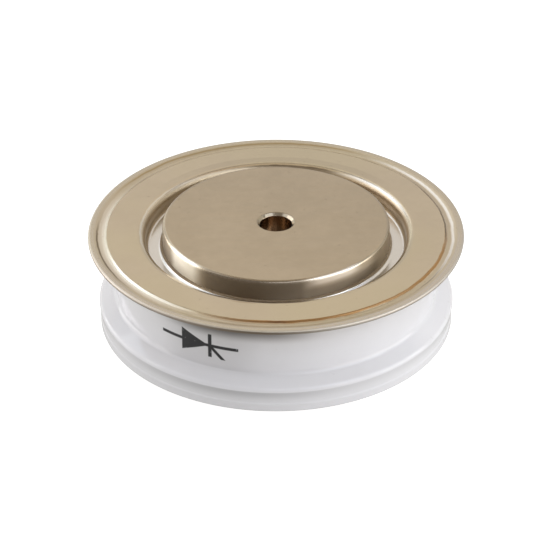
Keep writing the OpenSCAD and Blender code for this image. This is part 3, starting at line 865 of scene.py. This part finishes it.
class CAPSULE_OT_stack(bpy.types.Operator):
    """Give the sealed pieces inside the capsule their finishes"""

    bl_idname = "capsule.stack"
    bl_label = "Sealed stack"

    def execute(self, context):
        for *finish, names in INNER_FINISHES:
            material = inner_material(*finish)
            for name in names:
                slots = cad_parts[name].material_slots
                if not slots:
                    raise RuntimeError(name + " has no material slot")
                for slot in slots:
                    slot.material = material
        return {"FINISHED"}


def panel_light(name, azimuth, elevation, wide, tall, radiance, tint):
    """Adds a soft box seen from the capsule under the angles wide and tall; azimuth 0 is behind the capsule.

    Positive azimuths lie to the right. radiance is what the box adds to a mirror that shows it.
    """
    a, e = math.radians(azimuth), math.radians(elevation)
    away = Vector((math.sin(a) * math.cos(e), math.cos(a) * math.cos(e), math.sin(e)))
    lamp = bpy.data.lights.new(name, "AREA")
    lamp.shape = "RECTANGLE"
    lamp.size = 2 * LIGHT_DISTANCE * math.tan(math.radians(wide) / 2)
    lamp.size_y = 2 * LIGHT_DISTANCE * math.tan(math.radians(tall) / 2)
    lamp.energy = radiance * math.pi * lamp.size * lamp.size_y
    lamp.color = tint
    box = bpy.data.objects.new(name, lamp)
    box.location = away * LIGHT_DISTANCE
    box.rotation_mode = "QUATERNION"
    box.rotation_quaternion = away.to_track_quat("Z", "Y")
    box.visible_camera = False
    bpy.context.scene.collection.objects.link(box)


# Name, azimuth, elevation, width and height in degrees, radiance and tint of each soft box
SOFT_BOXES = (
    ("left_edge", -98, 16, 11, 40, 2.2, (1, 1, 0.94)),
    ("left_low", -69, 8, 38, 24, 3.1, (1, 0.98, 1)),
    ("left_high", -69, 32, 38, 24, 2.0, (0.95, 0.96, 1)),
    ("left_top", -78, 54, 50, 20, 0.95, (0.82, 0.9, 1)),
    ("back_left", -34, 14, 30, 34, 0.7, (0.95, 1, 0.98)),
    ("back_left_high", -32, 42, 30, 20, 0.9, (0.8, 0.9, 1)),
    ("back", 10, 18, 58, 26, 0.38, (1, 0.98, 0.95)),
    ("back_high", 12, 42, 56, 22, 0.56, (1, 0.92, 0.78)),
    ("right_back", 62, 20, 36, 44, 0.4, (0.98, 1, 0.9)),
    ("right_low", 98, 6, 36, 22, 3.0, (1, 0.93, 0.88)),
    ("right_high", 98, 24, 36, 16, 2.5, (0.87, 0.96, 1)),
    ("right_top", 105, 58, 60, 20, 0.95, (0.76, 0.85, 1)),
    ("right_front", 130, 12, 28, 32, 1.8, (1, 0.9, 0.86)),
    ("right_front_high", 120, 38, 34, 20, 2.0, (0.85, 0.93, 1)),
    ("front_high", 160, 46, 40, 20, 1.8, (0.8, 0.87, 1)),
    ("top", 0, 80, 60, 30, 0.38, (1, 0.82, 0.58)),
)


class CAPSULE_OT_stage(bpy.types.Operator):
    """Set up the pale floor, the soft studio light and the camera"""

    bl_idname = "capsule.stage"
    bl_label = "Stage"

    def execute(self, context):
        scene = context.scene
        s = scene.stage_settings
        bm = bmesh.new()
        bmesh.ops.create_grid(bm, x_segments=1, y_segments=1, size=FLOOR_REACH)
        floor = new_object("floor", bm)
        material, tree, shader, place = new_material("pale_floor")
        paper = noise(tree, place, 40.0, 2.0, 0.5)
        tree.links.new(blend(tree, paper, (0.3, 0.3, 0.3), (0.32, 0.32, 0.32)), shader.inputs["Base Color"])
        shader.inputs["Roughness"].default_value = 0.9
        shader.inputs["Specular IOR Level"].default_value = 0.0
        # The paper looks white and even, but sends less light up to the piece, most of it from the left
        across = add(tree, "ShaderNodeSeparateXYZ", {0: place}).outputs[0]
        # It changes between these distances from the middle
        near, far = 0.01, 0.09
        glow = blend(tree, ramp(tree, across, -near, -far), s.glow, s.glow_left)
        glow = blend(tree, ramp(tree, across, near, far), glow, s.glow_right)
        seen = tree.nodes.new("ShaderNodeLightPath").outputs["Is Camera Ray"]
        tree.links.new(blend(tree, seen, glow, (1, 1, 1)), shader.inputs["Emission Color"])
        shader.inputs["Emission Strength"].default_value = 1.0
        floor.data.materials.append(material)

        world = bpy.data.worlds.new("studio")
        world.use_nodes = True
        background = world.node_tree.nodes["Background"]
        background.inputs["Color"].default_value = (*s.sky, 1)
        background.inputs["Strength"].default_value = s.sky_strength
        scene.world = world
        for box in SOFT_BOXES:
            panel_light(*box)

        view = Vector((0, math.cos(s.elevation), -math.sin(s.elevation)))
        level = Vector((1, 0, 0))
        tall = level.cross(view)
        c, n = math.cos(s.roll), math.sin(s.roll)
        right, up = level * c + tall * n, tall * c - level * n
        lens = bpy.data.cameras.new("camera")
        lens.lens = s.lens
        lens.sensor_width = 36
        lens.clip_start = 0.01
        camera = bpy.data.objects.new("camera", lens)
        lid = Vector((0, 0, LID_HIGH.z))
        spot = lid - view * s.distance - right * s.aim_right - up * s.aim_up
        turned = Matrix((right, up, -view)).transposed().to_4x4()
        camera.matrix_world = Matrix.Translation(spot) @ turned
        scene.collection.objects.link(camera)
        scene.camera = camera
        scene.view_settings.view_transform = "Standard"
        scene.view_settings.look = "None"
        return {"FINISHED"}


class CAPSULE_PT_panel(bpy.types.Panel):
    """Lists the capsule's pieces, sizes and colours"""

    bl_idname = "CAPSULE_PT_panel"
    bl_label = "Disc capsule"
    bl_space_type = "VIEW_3D"
    bl_region_type = "UI"
    bl_category = "Capsule"

    def draw(self, context):
        for operator in OPERATORS:
            self.layout.operator(operator.bl_idname)
        for group in (context.scene.capsule_sizes, context.scene.capsule_colours, context.scene.stage_settings):
            column = self.layout.column()
            for name in group.bl_rna.properties.keys():
                if name not in ("rna_type", "name"):
                    column.prop(group, name)


OPERATORS = (CAPSULE_OT_ceramic, CAPSULE_OT_lid, CAPSULE_OT_poles, CAPSULE_OT_base, CAPSULE_OT_terminal,
             CAPSULE_OT_stack, CAPSULE_OT_stage)
CLASSES = (CapsuleSizes, CapsuleColours, StageSettings, *OPERATORS, CAPSULE_PT_panel)


def register():
    for cls in CLASSES:
        bpy.utils.register_class(cls)
    bpy.types.Scene.capsule_sizes = PointerProperty(type=CapsuleSizes)
    bpy.types.Scene.capsule_colours = PointerProperty(type=CapsuleColours)
    bpy.types.Scene.stage_settings = PointerProperty(type=StageSettings)


def unregister():
    del bpy.types.Scene.capsule_sizes
    del bpy.types.Scene.capsule_colours
    del bpy.types.Scene.stage_settings
    for cls in reversed(CLASSES):
        bpy.utils.unregister_class(cls)


def main():
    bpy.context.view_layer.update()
    register()
    bpy.ops.capsule.ceramic()
    bpy.ops.capsule.lid()
    bpy.ops.capsule.poles()
    bpy.ops.capsule.base()
    bpy.ops.capsule.terminal()
    bpy.ops.capsule.stack()
    bpy.ops.capsule.stage()


if __name__ == "__main__":
    main()
